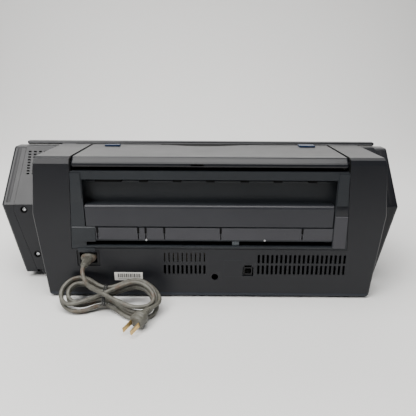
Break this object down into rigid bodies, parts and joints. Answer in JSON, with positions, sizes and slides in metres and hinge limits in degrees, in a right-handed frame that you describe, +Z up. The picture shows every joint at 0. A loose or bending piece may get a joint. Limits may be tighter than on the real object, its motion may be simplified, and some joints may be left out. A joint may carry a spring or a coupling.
{
  "type": "wide-format desktop inkjet printer",
  "caption": "Wide desktop inkjet printer with a fold-up rear paper support, hinged lid, rear access door, telescoping front tray and a tied grey mains lead.",
  "frame": {"origin": "under the middle of the closed machine, on the surface its feet stand on, without the mains lead", "axes": "+X to the machine's right as its user faces it, -Y out of the front where sheets come out, +Z up"},
  "size_m": [0.6218, 0.4293, 0.2146],
  "materials": {
    "case_black": "smooth moulded black plastic, satin to glossy",
    "frame_black": "fine textured black plastic",
    "inner_black": "matte black inner plastic",
    "tray_grey": "dark grey textured plastic",
    "button_grey": "satin grey key caps",
    "steel": "plain steel",
    "rubber": "black rubber",
    "white_plastic": "off-white plastic",
    "board_green": "green lacquered board",
    "cord_grey": "aged warm grey flexible plastic, slightly dirty",
    "catch_blue": "dark blue translucent-looking plastic",
    "brass": "plain brass",
    "ink_black": "black cartridge body",
    "ink_cyan": "cyan cartridge body",
    "ink_magenta": "magenta cartridge body",
    "ink_yellow": "yellow cartridge body"
  },
  "bodies": {
    "machine": {"base_case": "case_black", "upper_housing": "case_black", "right_end_cover": "case_black", "left_end_cover": "case_black", "feeder_housing": "case_black", "rear_frame": "frame_black", "control_panel": "frame_black", "foot_front_right": "rubber", "foot_front_left": "rubber", "foot_rear_right": "rubber", "foot_rear_left": "rubber", "case_screw_1": "steel", "case_screw_2": "steel", "case_screw_3": "steel", "case_screw_4": "steel", "feeder_chute": "inner_black", "chassis_frame": "steel", "feed_motor": "steel", "platen": "inner_black", "carriage_rail": "steel", "carriage_belt": "rubber", "carriage_motor": "steel", "power_supply": "steel", "main_board": "board_green", "usb_socket": "inner_black", "ac_inlet": "inner_black", "inlet_connector": "cord_grey", "cord_lead": "cord_grey", "cord_hank": "cord_grey", "cord_tie": "rubber", "cord_tail": "cord_grey", "mains_plug": "cord_grey", "plug_blade_left": "brass", "plug_blade_right": "brass"},
    "lid": {"printer_lid": "case_black"},
    "support": {"paper_support": "case_black", "support_pad_right": "catch_blue", "support_pad_left": "catch_blue"},
    "support_slide": {"support_extension": "frame_black"},
    "tray": {"output_tray": "case_black"},
    "tray_middle": {"tray_extension": "tray_grey"},
    "tray_tip": {"tray_end_piece": "tray_grey"},
    "jam_door": {"rear_jam_door": "frame_black"},
    "power_key": {"power_button": "button_grey"},
    "paper_key": {"paper_button": "button_grey"},
    "ink_key": {"ink_button": "button_grey"},
    "hopper": {"hopper_plate": "frame_black"},
    "guide": {"edge_guide": "tray_grey"},
    "pickup": {"pickup_roller": "rubber"},
    "feed": {"feed_roller": "steel"},
    "eject": {"eject_roller": "rubber"},
    "pinion": {"feed_pinion": "brass"},
    "print_carriage": {"carriage": "inner_black", "cartridge_black": "ink_black", "cartridge_cyan": "ink_cyan", "cartridge_magenta": "ink_magenta", "cartridge_yellow": "ink_yellow"},
    "motor_wheel": {"motor_pulley": "white_plastic"},
    "idler_wheel": {"idler_pulley": "white_plastic"}
  },
  "joints": [
    {"name": "lid_hinge", "type": "hinge", "parent": "machine", "child": "lid", "pos_m": [0, 0.0346, 0.2088], "axis": [-1, 0, 0], "range_deg": [0, 65]},
    {"name": "support_hinge", "type": "hinge", "parent": "machine", "child": "support", "pos_m": [-0.0152, 0.155, 0.203], "axis": [-1, 0, 0], "range_deg": [0, 112]},
    {"name": "support_extension_slide", "type": "slide", "parent": "support", "child": "support_slide", "axis": [0, -1, 0], "range_m": [0, 0.05]},
    {"name": "tray_hinge", "type": "hinge", "parent": "machine", "child": "tray", "pos_m": [0, -0.14642, 0.02467], "axis": [1, 0, 0], "range_deg": [0, 80]},
    {"name": "tray_extension_slide", "type": "slide", "parent": "tray", "child": "tray_middle", "axis": [0, -0.0928, 0.9957], "range_m": [0, 0.08]},
    {"name": "tray_end_slide", "type": "slide", "parent": "tray_middle", "child": "tray_tip", "axis": [0, -0.0928, 0.9957], "range_m": [0, 0.072]},
    {"name": "rear_door_hinge", "type": "hinge", "parent": "machine", "child": "jam_door", "pos_m": [-0.0152, 0.1595, 0.1125], "axis": [-1, 0, 0], "range_deg": [0, 75]},
    {"name": "power_button_press", "type": "slide", "parent": "machine", "child": "power_key", "axis": [0, 0.887, -0.4618], "range_m": [0, 0.0012], "stiffness_N_per_m": 600},
    {"name": "paper_button_press", "type": "slide", "parent": "machine", "child": "paper_key", "axis": [0, 0.887, -0.4618], "range_m": [0, 0.0012], "stiffness_N_per_m": 600},
    {"name": "ink_button_press", "type": "slide", "parent": "machine", "child": "ink_key", "axis": [0, 0.887, -0.4618], "range_m": [0, 0.0012], "stiffness_N_per_m": 600},
    {"name": "hopper_hinge", "type": "hinge", "parent": "machine", "child": "hopper", "pos_m": [-0.0152, 0.118, 0.19], "axis": [-1, 0, 0], "range_deg": [0, 8]},
    {"name": "edge_guide_slide", "type": "slide", "parent": "hopper", "child": "guide", "axis": [1, 0, 0], "range_m": [0, 0.2]},
    {"name": "pickup_spin", "type": "hinge", "parent": "machine", "child": "pickup", "pos_m": [-0.0152, 0.0495, 0.1548], "axis": [1, 0, 0], "continuous": true},
    {"name": "feed_spin", "type": "hinge", "parent": "machine", "child": "feed", "pos_m": [0, 0, 0.104], "axis": [1, 0, 0], "continuous": true},
    {"name": "eject_spin", "type": "hinge", "parent": "machine", "child": "eject", "pos_m": [0, -0.092, 0.1055], "axis": [1, 0, 0], "continuous": true},
    {"name": "pinion_spin", "type": "hinge", "parent": "machine", "child": "pinion", "pos_m": [0, -0.02, 0.0844], "axis": [1, 0, 0], "continuous": true},
    {"name": "carriage_slide", "type": "slide", "parent": "machine", "child": "print_carriage", "axis": [-1, 0, 0], "range_m": [0, 0.4]},
    {"name": "motor_pulley_spin", "type": "hinge", "parent": "machine", "child": "motor_wheel", "pos_m": [0.26, 0, 0.166], "axis": [0, 1, 0], "continuous": true},
    {"name": "idler_pulley_spin", "type": "hinge", "parent": "machine", "child": "idler_wheel", "pos_m": [-0.247, 0, 0.166], "axis": [0, 1, 0], "continuous": true}
  ],
  "couplings": [
    {"joint": "eject_spin", "follows": "feed_spin", "ratio": 1.3333},
    {"joint": "pinion_spin", "follows": "feed_spin", "ratio": -2.6316},
    {"joint": "motor_pulley_spin", "follows": "carriage_slide", "rad_per_m": 142.86},
    {"joint": "idler_pulley_spin", "follows": "carriage_slide", "rad_per_m": 142.86}
  ]
}
